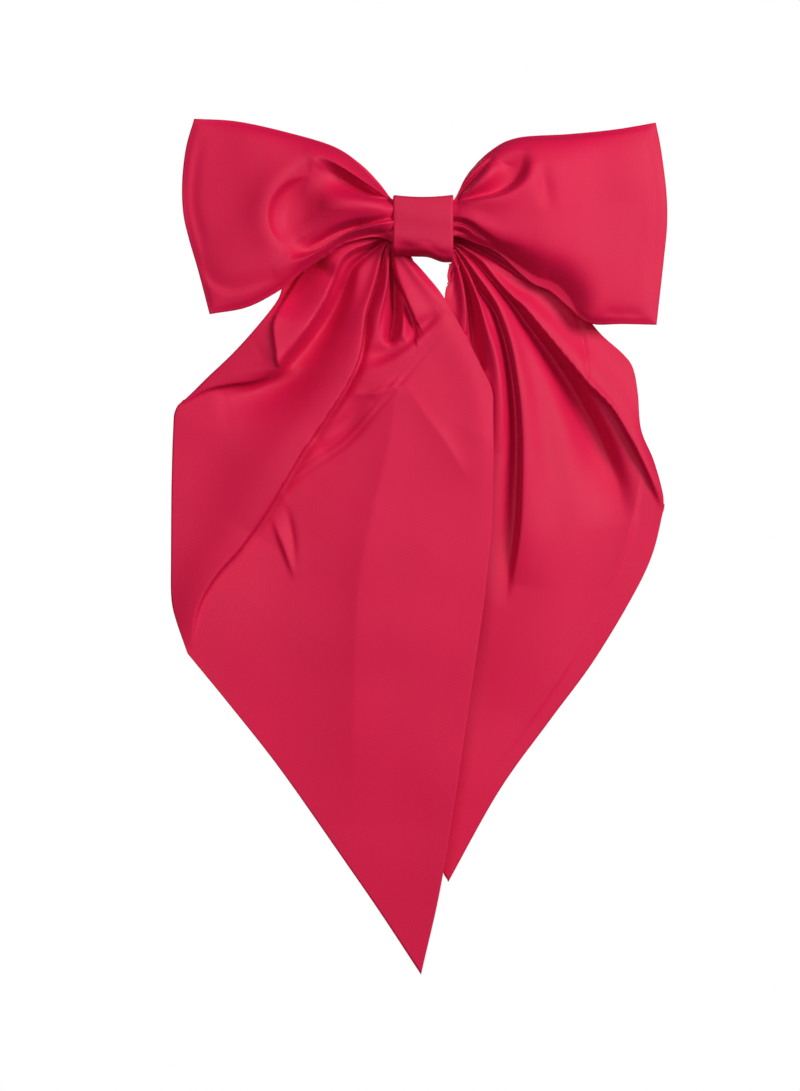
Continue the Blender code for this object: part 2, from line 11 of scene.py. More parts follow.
import bmesh
import bpy
import numpy as np
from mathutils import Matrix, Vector


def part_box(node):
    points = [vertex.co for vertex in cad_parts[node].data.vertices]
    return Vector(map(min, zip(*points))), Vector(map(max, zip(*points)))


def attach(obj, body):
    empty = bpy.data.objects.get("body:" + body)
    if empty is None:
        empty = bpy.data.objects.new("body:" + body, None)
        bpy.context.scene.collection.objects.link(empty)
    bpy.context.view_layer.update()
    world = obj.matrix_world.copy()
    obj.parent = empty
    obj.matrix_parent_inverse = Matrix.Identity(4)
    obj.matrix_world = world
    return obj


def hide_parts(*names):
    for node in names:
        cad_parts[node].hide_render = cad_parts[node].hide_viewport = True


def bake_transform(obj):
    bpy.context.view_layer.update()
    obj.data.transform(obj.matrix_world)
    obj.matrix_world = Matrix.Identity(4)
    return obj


MM = 0.001

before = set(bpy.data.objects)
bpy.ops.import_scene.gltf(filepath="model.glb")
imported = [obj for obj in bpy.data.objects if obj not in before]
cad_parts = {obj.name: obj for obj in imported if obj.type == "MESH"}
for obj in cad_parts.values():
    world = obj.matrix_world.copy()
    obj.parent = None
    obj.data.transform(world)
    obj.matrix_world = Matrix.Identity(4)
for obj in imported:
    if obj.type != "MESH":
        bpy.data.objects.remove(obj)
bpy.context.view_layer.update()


# Lines and surfaces --------------------------------------------------------------------------------


def smooth_line(points, count):
    """`count` points, evenly spaced, along a smooth curve through these points."""
    knots = np.array(points, float)
    padded = np.vstack([2 * knots[0] - knots[1], knots, 2 * knots[-1] - knots[-2]])
    places = np.linspace(0, len(knots) - 1 - 1e-9, 40 * len(knots))
    which = places.astype(int)
    t = (places - which)[:, None]
    a, b, c, d = (padded[which + k] for k in range(4))
    line = (2 * b + (c - a) * t + (2 * a - 5 * b + 4 * c - d) * t**2 + (3 * b - a - 3 * c + d) * t**3) / 2
    walked = np.concatenate([[0], np.cumsum(np.linalg.norm(np.diff(line[:, :2], axis=0), axis=1))])
    even = np.linspace(0, walked[-1], count)
    return np.stack([np.interp(even, walked, line[:, k]) for k in range(line.shape[1])], axis=1)


def from_line(points, line):
    """Each point's distance to the left of a line, its distance past the line's ends, the share of the
    line's length at its foot, and the line's direction there."""
    steps = np.diff(line, axis=0)
    lengths = np.linalg.norm(steps, axis=1)
    ahead = steps / lengths[:, None]
    gap_x = points[:, 0, None] - line[None, :-1, 0]
    gap_z = points[:, 1, None] - line[None, :-1, 1]
    walked = gap_x * ahead[:, 0] + gap_z * ahead[:, 1]
    aside = ahead[:, 0] * gap_z - ahead[:, 1] * gap_x
    outside = np.maximum(np.maximum(-walked, walked - lengths), 0)
    which = np.argmin(aside**2 + outside**2, axis=1)
    row = np.arange(len(points))
    past, across = outside[row, which], aside[row, which]
    at_end = (which == 0) & (walked[row, which] < 0)
    at_end |= (which == len(lengths) - 1) & (walked[row, which] > lengths[-1])
    side = np.where(at_end, across, np.sign(across) * np.hypot(across, past))
    along = (which + np.clip(walked[row, which] / lengths[which], 0, 1)) / len(lengths)
    return side, np.where(at_end, past, 0), along, ahead[which]


def smoothstep(value):
    """From 0 to 1 as the value goes from 0 to 1, level at both ends."""
    value = np.clip(value, 0, 1)
    return value * value * (3 - 2 * value)


def profile(places, values):
    """The value at each of `places` (0 to 1) of a smooth curve through evenly spaced `values`."""
    values = np.atleast_1d(np.array(values, float))
    if len(values) == 1:
        return np.full(np.shape(places), values[0])
    padded = np.concatenate([[2 * values[0] - values[1]], values, [2 * values[-1] - values[-2]]])
    steps = np.clip(places, 0, 1) * (len(values) - 1)
    low = np.minimum(steps.astype(int), len(values) - 2)
    t = steps - low
    a, b, c, d = (padded[low + k] for k in range(4))
    return b + t * ((c - a) + t * ((2 * a - 5 * b + 4 * c - d) + t * (3 * b - a - 3 * c + d))) / 2


def patch(start, end, first_side, last_side):
    """Flat (x, z) of a grid whose rows run from the `start` line to the `end` line.

    The sides give the first and last point of every row.
    """
    columns = len(start)
    walked = np.linalg.norm(np.diff((first_side + last_side) / 2, axis=0), axis=1)
    down = np.concatenate([[0], np.cumsum(walked)])
    down = (down / down[-1])[:, None, None]
    across = np.linspace(0, 1, columns)[None, :, None]
    between_lines = start[None] * (1 - down) + end[None] * down
    between_sides = first_side[:, None] * (1 - across) + last_side[:, None] * across
    corners = (start[0] * (1 - down) + end[0] * down) * (1 - across)
    corners = corners + (start[-1] * (1 - down) + end[-1] * down) * across
    return between_lines + between_sides - corners


# How far a fold runs on past the ends of its path.
END_WIDTH = 4.0


class Cloth:
    """A grid of cloth: where each point lies seen from the front, and how far it lifts to the viewer."""

    def __init__(self, flat, lift):
        self.flat = flat
        self.lift = np.array(lift, float) + np.zeros(flat.shape[:2])
        self.shift = np.zeros(flat.shape)

    def fold(self, path, lift, left, right, lip=0.0, power=2.0):
        """Raises (or with a negative lift, sinks) the cloth along a path.

        lift, left and right are single values or lists spread along the path. left and right are the
        widths over which it falls away on that side of the path. The lip pushes the crest towards its
        steeper side, so that it hangs over. A power of 1 gives a sharp crease, 2 a round fold.
        """
        line = smooth_line(path, 140)
        reach = 3.2 * max(np.max(left), np.max(right)) + abs(lip)
        low, high = line.min(axis=0) - reach, line.max(axis=0) + reach
        near = np.all((self.flat > low) & (self.flat < high), axis=2)
        points = self.flat[near]
        if not len(points):
            return
        side, beyond, along, ahead = from_line(points, line)
        left_width, right_width = profile(along, left), profile(along, right)
        width = np.where(side > 0, left_width, right_width)
        end_fade = np.exp(-((beyond / np.minimum(width, END_WIDTH)) ** 2))
        fall = np.exp(-((np.abs(side) / width) ** power)) * end_fade
        height = profile(along, lift)
        self.lift[near] += height * fall
        if lip:
            steep = np.minimum(left_width, right_width)
            towards = np.where(left_width < right_width, 1.0, -1.0)
            lip_width = np.where(side * towards > 0, 0.55 * steep, 2.5 * abs(lip))
            pull = lip * towards * np.exp(-((side / lip_width) ** 2)) * end_fade
            pull = pull * np.abs(height) / max(np.max(np.abs(lift)), 1e-6)
            self.shift[near] += pull[:, None] * np.stack([-ahead[:, 1], ahead[:, 0]], axis=1)

    def layer(self, outline, lift, soft):
        """Raises the cloth inside a closed outline, where it lies double, with an edge `soft` wide."""
        line = smooth_line([*outline, outline[0]], 240)
        points = self.flat.reshape(-1, 2)
        side = from_line(points, line)[0]
        inside = np.zeros(len(points), bool)
        for (x0, z0), (x1, z1) in zip(line[:-1], line[1:]):
            level = (z0 > points[:, 1]) != (z1 > points[:, 1])
            crossing = x0 + (points[:, 1] - z0) * (x1 - x0) / (z1 - z0 if z1 != z0 else 1e-9)
            inside ^= level & (points[:, 0] < crossing)
        raised = lift * smoothstep(np.abs(side) / soft) * inside
        self.lift += raised.reshape(self.lift.shape)

    def ripple(self, size, length, seed):
        """Faint unevenness of soft cloth, from a few crossed waves."""
        waves = np.random.default_rng(seed)
        total = np.zeros(self.lift.shape)
        for _ in range(9):
            turn = waves.uniform(0, 2 * math.pi)
            pitch = length * waves.uniform(0.6, 1.8)
            across = self.flat[..., 0] * math.cos(turn) + self.flat[..., 1] * math.sin(turn)
            total += np.sin(2 * math.pi * across / pitch + waves.uniform(0, 2 * math.pi))
        self.lift += size * total / 3

    def points(self):
        """The grid's points as (x, y, z) in metres."""
        place = self.flat + self.shift
        return np.stack([place[..., 0], -self.lift, place[..., 1]], axis=2) * MM


def edge_distance(flat, edge):
    """How far each point of the grid lies from a line, in millimetres."""
    line = smooth_line(edge, 160)
    nearest = np.full(flat.shape[:2], 1e9)
    for point in line:
        nearest = np.minimum(nearest, np.hypot(flat[..., 0] - point[0], flat[..., 1] - point[1]))
    return nearest


# Meshes --------------------------------------------------------------------------------------------

pieces = bpy.data.collections.new("look")
bpy.context.scene.collection.children.link(pieces)


def new_piece(name, mesh, material):
    """A smooth-shaded piece of the finished look."""
    piece = bpy.data.objects.new(name, mesh)
    pieces.objects.link(piece)
    mesh.materials.append(material)
    mesh.shade_smooth()
    return piece


def grid_faces(rows, columns, closed=False):
    """The quads of a grid of points. A closed one joins its last row to its first."""
    index = np.arange(rows * columns).reshape(rows, columns)
    if closed:
        index = np.vstack([index, index[:1]])
    corners = [index[:-1, :-1], index[:-1, 1:], index[1:, 1:], index[1:, :-1]]
    return np.stack(corners, axis=-1).reshape(-1, 4)


def closed_mesh(name, points, faces):
    """A mesh of these points and faces, with its normals turned outwards."""
    mesh = bpy.data.meshes.new(name)
    mesh.from_pydata(points.tolist(), [], faces)
    shape = bmesh.new()
    shape.from_mesh(mesh)
    bmesh.ops.recalc_face_normals(shape, faces=shape.faces)
    shape.to_mesh(mesh)
    shape.free()
    return mesh


def sheet_mesh(name, points, thickness, edge_taper):
    """A closed sheet: the grid is its front, and its back lies behind along the normals.

    The thickness is multiplied by the taper, which is given for each point.
    """
    across = np.gradient(points, axis=1)
    down = np.gradient(points, axis=0)
    normal = np.cross(across, down)
    normal /= np.linalg.norm(normal, axis=2)[..., None] + 1e-12
    if normal[..., 1].mean() > 0:
        normal = -normal
    return two_faces(name, points, points - normal * thickness * edge_taper[..., None])


def two_faces(name, front, back):
    """A closed mesh between a front and a back grid, joined by a rim."""
    rows, columns = front.shape[:2]
    count = rows * columns
    faces = grid_faces(rows, columns)
    index = np.arange(count).reshape(rows, columns)
    rim = np.concatenate([index[0, :-1], index[:-1, -1], index[-1, :0:-1], index[:0:-1, 0]])
    after = np.roll(rim, -1)
    sides = np.stack([rim, after, after + count, rim + count], axis=1)
    every_face = np.concatenate([faces, faces[:, ::-1] + count, sides])
    points = np.concatenate([front.reshape(-1, 3), back.reshape(-1, 3)])
    return closed_mesh(name, points, every_face.tolist())


# Materials -----------------------------------------------------------------------------------------


def new_material(name, colour, roughness):
    """A material, its node tree and its shader."""
    material = bpy.data.materials.new(name)
    material.use_nodes = True
    shader = material.node_tree.nodes["Principled BSDF"]
    shader.inputs["Base Color"].default_value = (*colour, 1)
    shader.inputs["Roughness"].default_value = roughness
    return material, material.node_tree, shader


def add_node(tree, kind, **values):
    """A new node. Each value goes to the socket of that name, or else to the node's own setting."""
    node = tree.nodes.new(kind)
    for name, value in values.items():
        if name in node.inputs:
            node.inputs[name].default_value = value
        else:
            setattr(node, name, value)
    return node


def blend_colours(tree, factor, first, second):
    """A colour between two, by a factor that varies over the surface."""
    mix = tree.nodes.new("ShaderNodeMix")
    mix.data_type = "RGBA"
    tree.links.new(factor, mix.inputs["Factor"])
    mix.inputs[6].default_value = (*first, 1)
    mix.inputs[7].default_value = (*second, 1)
    return mix.outputs[2]


def stretched_noise(tree, stretch, scale, detail=2.0):
    """Noise fixed to the piece, stretched along some of its axes."""
    place = add_node(tree, "ShaderNodeTexCoord")
    mapping = add_node(tree, "ShaderNodeMapping", Scale=stretch)
    noise = add_node(tree, "ShaderNodeTexNoise", Scale=scale, Detail=detail)
    tree.links.new(place.outputs["Object"], mapping.inputs["Vector"])
    tree.links.new(mapping.outputs["Vector"], noise.inputs["Vector"])
    return noise.outputs["Fac"]


def stripes(tree, rotation, **values):
    """Fine parallel bands, turned about the piece's axes."""
    place = add_node(tree, "ShaderNodeTexCoord")
    turned = add_node(tree, "ShaderNodeMapping", Rotation=rotation)
    wave = add_node(tree, "ShaderNodeTexWave", **values)
    tree.links.new(place.outputs["Object"], turned.inputs["Vector"])
    tree.links.new(turned.outputs["Vector"], wave.inputs["Vector"])
    return wave.outputs["Fac"]


def vary_roughness(tree, shader, noise, low, high):
    spread = add_node(tree, "ShaderNodeMapRange", **{"To Min": low, "To Max": high})
    tree.links.new(noise, spread.inputs["Value"])
    tree.links.new(spread.outputs["Result"], shader.inputs["Roughness"])


def add_bump(tree, shader, height, strength, distance):
    bump = add_node(tree, "ShaderNodeBump", Strength=strength, Distance=distance)
    tree.links.new(height, bump.inputs["Height"])
    tree.links.new(bump.outputs["Normal"], shader.inputs["Normal"])


def satin_material(name, deep, bright, weave_turn):
    """Polyester satin: a deep dye, a soft broad sheen and a fine diagonal twill that shows in the sheen."""
    material, tree, shader = new_material(name, deep, 0.45)
    shader.inputs["Specular IOR Level"].default_value = 0.26
    shader.inputs["Sheen Weight"].default_value = 0.10
    shader.inputs["Sheen Roughness"].default_value = 0.38
    shader.inputs["Sheen Tint"].default_value = (1.0, 0.10, 0.45, 1)

    cloudy = stretched_noise(tree, (1, 1, 0.6), 22, 3)
    tree.links.new(blend_colours(tree, cloudy, deep, bright), shader.inputs["Base Color"])

    vary_roughness(tree, shader, stretched_noise(tree, (1, 1, 0.35), 60, 2), 0.56, 0.70)

    twill = stripes(tree, (0, weave_turn, 0), Scale=340, Distortion=0.8, Detail=1, bands_direction="X")
    threads = stretched_noise(tree, (1, 1, 0.12), 900, 1)
    both = add_node(tree, "ShaderNodeMath", operation="ADD")
    tree.links.new(twill, both.inputs[0])
    tree.links.new(threads, both.inputs[1])
    add_bump(tree, shader, both.outputs[0], 0.07, 0.0003)
    return material


def steel_material():
    """Bright nickel plate over pressed steel, with faint rolling marks along its length."""
    material, tree, shader = new_material("nickel_plate", (0.76, 0.75, 0.72), 0.25)
    shader.inputs["Metallic"].default_value = 1.0
    marks = stretched_noise(tree, (0.05, 1, 1), 900, 2)
    vary_roughness(tree, shader, marks, 0.30, 0.46)
    cloudy = stretched_noise(tree, (1, 1, 1), 120, 2)
    plate = blend_colours(tree, cloudy, (0.70, 0.69, 0.66), (0.80, 0.79, 0.77))
    tree.links.new(plate, shader.inputs["Base Color"])
    add_bump(tree, shader, marks, 0.08, 0.0001)
    return material


def thread_material():
    """Spun sewing thread: matt, with its twist as a fine diagonal."""
    material, tree, shader = new_material("sewing_thread", (0.42, 0.01, 0.04), 0.7)
    twist = stripes(tree, (0.6, 0.6, 0.3), Scale=800)
    strands = blend_colours(tree, twist, (0.30, 0.006, 0.025), (0.55, 0.02, 0.06))
    tree.links.new(strands, shader.inputs["Base Color"])
    add_bump(tree, shader, twist, 0.3, 0.0001)
    return material


def glue_material():
    """Cloudy hot-melt glue."""
    material, tree, shader = new_material("glue", (0.85, 0.82, 0.72), 0.35)
    shader.inputs["Subsurface Weight"].default_value = 0.2
    shader.inputs["Subsurface Scale"].default_value = 0.001
    cloudy = stretched_noise(tree, (1, 1, 1), 400, 3)
    wax = blend_colours(tree, cloudy, (0.78, 0.74, 0.62), (0.90, 0.88, 0.80))
    tree.links.new(wax, shader.inputs["Base Color"])
    add_bump(tree, shader, cloudy, 0.3, 0.0004)
    return material


satin = satin_material("satin", (0.50, 0.0008, 0.040), (0.59, 0.0012, 0.050), math.radians(38))
# The knot's strip is cut the other way of the cloth, so its twill turns the other way. Its dye is a darker
# copy of the satin's, which paints in the knot's shade.
band_satin_painted_shade = satin_material("band_satin_painted_shade", (0.45, 0.0008, 0.036), (0.53, 0.0012, 0.045), math.radians(-52))
steel = steel_material()
thread = thread_material()
glue = glue_material()


# Bow panel: the two loops --------------------------------------------------------------------------

# Outlines from the knot outwards.
LEFT_TOP = [
    (0, 9), (-9, 9.2), (-12.8, 10.5), (-18.3, 17.4), (-26.3, 25.4), (-37.5, 32.6), (-56.7, 38.4),
    (-77.5, 42.9), (-95.2, 44.0),
]
LEFT_BOTTOM = [
    (0, -8.8), (-9, -8.8), (-12.8, -7.2), (-20, -5.2), (-32, -8.0), (-39, -12.5), (-50, -19.6),
    (-57.5, -26.0),
    (-72.6, -34.2), (-88.8, -37.3),
]
LEFT_END = [(-95.2, 44.0), (-98.6, 32), (-100.2, 18), (-99.8, 5), (-97.4, -6), (-93.6, -19), (-88.8, -37.3)]
RIGHT_TOP = [
    (0, 9), (9, 9.2), (12.8, 10.2), (18.6, 21.0), (28.2, 30.8), (39.4, 36.1), (60.3, 37.6), (79.5, 39.5),
    (96.8, 42.4),
]
RIGHT_BOTTOM = [
    (0, -8.8), (9, -8.8), (12.8, -4.8), (22.4, -8.0), (31.4, -12.0), (39.0, -18.6), (46.0, -24.4),
    (53, -27.4),
    (60.5, -34.0), (66.5, -39.6), (72, -41.6), (83, -41.4), (97.1, -41.7),
]
RIGHT_END = [(96.8, 42.4), (99.0, 31), (101.2, 13.6), (101.5, 0), (100.2, -14), (97.1, -41.7)]
# How far forward of the frame's origin the loops' seams lie.
PANEL_SEAM = 19.5
# Where the right loop's lower edge is pushed back towards the tail.
SET_BACK = [(28, -11.5), (39, -19.2), (46, -25), (53, -28.4), (60.5, -34.8), (66.5, -40.5)]


def loop_surface(top, bottom, end, columns, rows):
    """A loop's flat grid, from the middle of the knot to its end seam. Rows run from top to bottom."""
    top_line, bottom_line = smooth_line(top, columns), smooth_line(bottom, columns)
    knot_line = np.stack([np.zeros(rows), np.linspace(top[0][1], bottom[0][1], rows)], axis=1)
    end_line = smooth_line(end, rows)
    return patch(top_line, bottom_line, knot_line, end_line)


def puffed(flat, top, bottom, end, depth, roundness):
    """How far a sewn bag's face stands off its seam, from nothing at the seams to its full depth.

    The depth is given in steps from the middle of the knot to the loop's end.
    """
    loop_length, knot_depth = 101, 3.9
    knot_inside, knot_outside = 9, 16
    distances = [np.maximum(edge_distance(flat, edge), 0.01) for edge in (top, bottom, end)]
    to_edge = sum(distance**-2.0 for distance in distances) ** -0.5
    puff = 1 - np.exp(-to_edge / roundness)
    x = np.abs(flat[..., 0])
    out = smoothstep((x - knot_inside) / (knot_outside - knot_inside))
    return knot_depth + (profile(x / loop_length, depth) * puff - knot_depth) * out


def seam_mark(cloth, path, depth):
    """The seam allowance inside a sewn edge, pressed through the cloth as one soft wide groove."""
    cloth.fold(path, [0, -depth, -depth, -depth, 0], 2.6, 1.6)


def left_loop_front(flat):
    depth = [4, 7.5, 9.5, 9.6, 8.8, 7.6, 6.4, 5.0, 3.6, 2.6, 1.8]
    cloth = Cloth(flat, puffed(flat, LEFT_TOP[2:], LEFT_BOTTOM[2:], LEFT_END, depth, 5.0))
    # The upper fold, which overhangs the pocket, and the second lobe behind it.
    crest = [(-12, 10.5), (-17, 12.8), (-24, 17.4), (-32, 22.6), (-40, 27.0), (-50, 31.0)]
    cloth.fold(crest, [0.8, 2.0, 2.6, 2.2, 1.0, 0], [0.7, 1.1, 2.0, 4.5], [1.0, 1.8, 3, 4], lip=0.6)
    groove = [(-13, 12.0), (-17, 16.0), (-24.5, 22.8), (-32, 30.2)]
    cloth.fold(groove, [-0.6, -1.4, -1.2, 0], 0.8, 0.9)
    # The pocket between the upper fold and the middle band.
    pocket = [(-12.5, 10.4), (-20, 11.2), (-26, 13.8), (-32, 17.2), (-38, 20.2), (-46, 22.5)]
    cloth.fold(pocket, [-0.8, -4.2, -6.6, -6.2, -3.8, 0], [0.9, 1.9, 4.0, 7.0, 9.0], [0.8, 1.4, 2.6, 5.0])
    # The middle band, which opens into a round bowl with a raised rim.
    cloth.fold(
        [(-12, 6.4), (-22, 6.8), (-32, 7.0), (-43, 6.5)], [1.4, 2.4, 2.2, 0], [2.2, 4.2, 5],
        [2.2, 4.2, 5], power=2.5,
    )
    bowl = [(-43, 24), (-49, 17), (-53, 9), (-54, 1), (-50, -6)]
    cloth.fold(bowl, [0, -2.8, -5.4, -5.8, -4.0], [8, 11, 12], [4.5, 7.5, 8.5], power=2.5)
    rim = [(-47, 20.5), (-56, 17.5), (-62, 11.5), (-64.5, 4), (-63, -4), (-58, -10)]
    cloth.fold(rim, [0, 1.6, 2.5, 2.6, 1.8, 0], [1.6], [8])
    # The lower pocket and the ridge along the lower edge.
    pocket = [(-12.5, 2.3), (-21, 0.5), (-29, -1.6), (-36, -5.0), (-42, -8.8), (-49, -11.5), (-56, -12)]
    cloth.fold(pocket, [-0.8, -3.4, -6.4, -8.2, -7.6, -4.6, 0], [0.8, 1.1, 1.6, 2.4], [0.9, 1.7, 3.2, 4.6])
    ridge = [(-12, 0.3), (-22.5, -2.4), (-32, -6.0), (-40, -11.4), (-52.8, -17.4), (-62, -21.5)]
    cloth.fold(ridge, [0.8, 2.4, 3.0, 2.8, 1.6, 0], [1.2, 2.0, 3.0, 3.5], [0.8, 1.4, 2.6, 3.5], lip=0.9)
    cloth.fold([(-12, -3.2), (-24.4, -5.0), (-33, -8.0), (-39, -12)], [-0.8, -1.8, -1.6, 0], 0.8, 0.8)
    # Seam allowances inside the end and round the lower corner.
    seam_mark(cloth, [(-92, 38), (-95, 22), (-95.6, 8), (-92, -8), (-90, -18)], 0.5)
    corner = [(-91.5, -12), (-90, -19), (-86.5, -24.5), (-80, -27), (-71, -25.4), (-60, -21)]
    cloth.fold(corner, [0, -0.7, -1.0, -1.0, -0.7, 0], [4.5], [1.8])
    cloth.fold([(-88, 40), (-70, 37), (-54, 33)], [0, 0.5, 0], 3, 5)
    cloth.fold([(-88, -10), (-74, -4), (-68, 8)], [0, 0.6, 0], 9, 9)
    cloth.ripple(0.18, 36, 3)
    return cloth


def right_loop_front(flat):
    depth = [4, 7.5, 9.5, 10.4, 10.2, 9.4, 8.0, 6.2, 4.4, 2.8, 1.8]
    cloth = Cloth(flat, puffed(flat, RIGHT_TOP[2:], RIGHT_BOTTOM[2:], RIGHT_END, depth, 5.0))
    # Two short folds at the top beside the knot, and the pocket under them.
    groove = [(13, 9.8), (16.2, 13.9), (22.2, 20.3), (29.6, 28.3)]
    cloth.fold(groove, [-1, -2.8, -2.6, 0], 1.0, 1.2)
    cloth.fold([(12.6, 11), (16.5, 17), (22, 24), (29, 30)], [0.6, 1.6, 1.6, 0], 1.2, 1.2)
    cloth.fold([(13, 9.4), (20, 13.8), (26.5, 20), (33, 26)], [0.6, 1.2, 1.0, 0], [1.2, 2.6], [1.4, 4])
    pocket = [(13, 8.9), (21.5, 10.8), (30.5, 13.0), (36.8, 17.2), (40, 22.8), (40.6, 29.5)]
    cloth.fold(pocket, [-0.9, -3.2, -5.2, -6.2, -5.2, -1.0], [1.0, 3.5, 8.0, 12.0], [0.8, 1.2, 2.2, 3.6])
    cloth.fold([(12, 7.5), (24, 8.4), (35, 11), (43, 17), (46, 26)], [0.6, 1.2, 1.4, 1.2, 0], [2.0], [3, 7])
    # The shallow dent in the middle of the panel.
    cloth.fold([(49.2, 21), (50.2, 15), (51.4, 9)], [-0.9, -1.5, -0.9], 3.2, 3.2)
    cloth.fold([(49.4, 22), (51.0, 8)], 0.5, 9, 9)
    # Creases from the knot towards the lower right, and the deep hollow of the lower edge.
    cloth.fold(
        [(12, 3.2), (18, 1.6), (25, -3.0), (33, -7.4), (44, -9.5)], [0.6, 1.8, 1.8, 1.2, 0], [3, 6],
        [0.8, 2],
    )
    cloth.fold([(12.4, 0.8), (18.5, -0.6), (25, -5.2), (31, -9.2)], [-1, -2.6, -2.2, 0], 0.9, 1.0)
    cloth.fold([(12.6, -2.6), (16, -3.2), (20, -5)], [-1.6, -2, 0], 1.0, 1.0)
    hollow = [(28, -10), (37, -15.6), (45.5, -20.2), (54, -24.4), (61, -30.2), (67, -36.6)]
    cloth.fold(hollow, [0, -2.6, -3.8, -4.4, -3.8, -1.0], [2.5, 4.5, 7, 8, 6], [4.5])
    # Seam allowances inside the end and along the lower edge.
    seam_mark(cloth, [(92.5, 36), (95.5, 20), (96.5, 2), (95, -16), (93, -32)], 0.4)
    seam_mark(cloth, [(74, -36.5), (80, -37.2), (86, -37.4), (92, -37.6)], 0.5)
    cloth.fold([(80, 33), (84, 22), (83, 8)], [0, 0.6, 0], 9, 9)
    cloth.ripple(0.18, 38, 8)
    return cloth


def loop_back(flat, top, bottom, end, seed):
    """The panel's rear face: softer, with folds that run in to the knot."""
    depth = [4, 3.8, 3.4, 3.2, 3.2, 3.2, 3.0, 2.6, 2.2, 1.7, 1.3]
    side = math.copysign(1, end[0][0])
    cloth = Cloth(flat, puffed(flat, top[2:], bottom[2:], end, depth, 5.5))
    for height, reach, size in ((7, 46, 1.4), (2.5, 58, 1.2), (-2.5, 52, 1.3), (-6, 40, 1.0)):
        spread = height * 2.6
        path = [(side * 12, height), (side * reach * 0.5, height * 1.6), (side * reach, spread)]
        cloth.fold(path, [0.5, size, 0], [1.2, 3.5], [1.2, 3.5])
        under = [(x, z - 2.2 * (1 + abs(x) / 40)) for x, z in path]
        cloth.fold(under, [-0.6, -size, 0], [1.2, 3.5], [1.2, 3.5])
    seam_mark(cloth, [(x - side * 4.5, z * 0.85) for x, z in end[:5]], 0.5)
    cloth.ripple(0.2, 34, seed)
    return cloth


def build_panel():
    """The loops: one closed bag, with a front and a back that meet at the seams."""
    columns, rows = 160, 124
    knot_half_width, seam_round, least_depth, seam_gap = 14, 2.5, 0.2, 0.25
    fronts, backs = [], []
    for top, bottom, end, front_of, seed in (
        (LEFT_TOP, LEFT_BOTTOM, LEFT_END, left_loop_front, 11),
        (RIGHT_TOP, RIGHT_BOTTOM, RIGHT_END, right_loop_front, 12),
    ):
        flat = loop_surface(top, bottom, end, columns, rows)
        front = front_of(flat)
        back = loop_back(flat, top, bottom, end, seed)
        rim = np.minimum.reduce([edge_distance(flat, edge) for edge in (top[2:], bottom[2:], end)])
        outside = np.abs(flat[..., 0]) > knot_half_width
        rounded = np.where(outside, np.sqrt(np.clip(rim / seam_round, 0, 1)), 1)
        seam = Cloth(flat, PANEL_SEAM)
        seam.fold(SET_BACK, [0, -2.6, -3.4, -3.6, -3.0, 0], 8, 8)
        front.lift = seam.lift + np.maximum(front.lift, least_depth) * rounded + seam_gap
        back.lift = seam.lift - np.maximum(back.lift, least_depth) * rounded - seam_gap
        fronts.append(front.points())
        backs.append(back.points())
    front = np.concatenate([fronts[0][:, ::-1], fronts[1][:, 1:]], axis=1)
    back = np.concatenate([backs[0][:, ::-1], backs[1][:, 1:]], axis=1)
    piece = new_piece("bow_loops", two_faces("bow_loops", front, back), satin)
    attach(piece, "bow")
    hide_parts("bow_panel")


# Tails ---------------------------------------------------------------------------------------------

# How far forward the tails come out of the knot, and the thickness of their double cloth.
ROOT_LIFT = 11.9
TAIL_THICKNESS = 1.1
# Outlines from the knot downwards. The hems run from the outer corner to the point.
LEFT_OUTER = [
    (-13.2, 2.5), (-24, -1.5), (-40, -9.5), (-56.5, -20.5), (-61.2, -30.5), (-67, -39.0), (-80, -53.4),
    (-99, -71.0), (-103.8, -76.5), (-104.8, -85), (-105.4, -110), (-105.4, -140), (-105, -156),
    (-102.6, -166), (-98, -178.5),
]
LEFT_INNER = [
    (-12.6, -8.2), (-4.5, -13.8), (3, -22), (9, -30), (17.4, -45), (24.3, -58.8), (28.6, -68), (29.3, -78),
    (29, -120), (26.6, -146), (23.3, -172.5), (9, -266.8), (-0.8, -312.6),
]
LEFT_HEM = [(-98, -178.5), (-81, -199.5), (-59, -227.8), (-32.6, -265.3), (-17.3, -287.6), (-0.8, -312.6)]
LEFT_ROOT = [(-13.2, 2.5), (-13.0, -0.8), (-12.8, -4.4), (-12.6, -8.2)]

RIGHT_OUTER = [
    (13.2, 2.5), (24, -2.5), (38, -9.5), (52, -20.5), (66, -34.5), (75, -45), (83.9, -52.9), (88.3, -59),
    (90.3, -69.7), (91.5, -85), (96.8, -97.5), (100.7, -111), (101.3, -117.7),
]
RIGHT_INNER = [
    (12.6, -8.2), (12.0, -14.5), (10.4, -19.8), (11.0, -24.0), (9.2, -29), (8, -60), (6, -130),
    (6, -190), (7.6, -262), (10.6, -275.0),
]
RIGHT_HEM = [
    (101.3, -117.7), (96.5, -137), (88, -155), (71.5, -182.4), (52.9, -207.6), (32, -236.6), (10.6, -275.0),
]
RIGHT_ROOT = [(13.2, 2.5), (13.0, -0.8), (12.8, -4.4), (12.6, -8.2)]


def down_the_tail(points, rows):
    """Points along a tail's long edge, closer together near the knot, where the folds are fine."""
    fine = smooth_line(points, 8 * rows)
    places = np.linspace(0, 1, rows) ** 1.45 * (len(fine) - 1)
    return np.stack([np.interp(places, np.arange(len(fine)), fine[:, k]) for k in range(2)], axis=1)


def tail_surface(root, hem, outer, inner, columns, rows):
    """A tail's flat grid, from the knot to its cut end.

    Columns run from the outer edge to the inner one.
    """
    return patch(
        smooth_line(root, columns),
        smooth_line(hem, columns),
        down_the_tail(outer, rows),
        down_the_tail(inner, rows),
    )


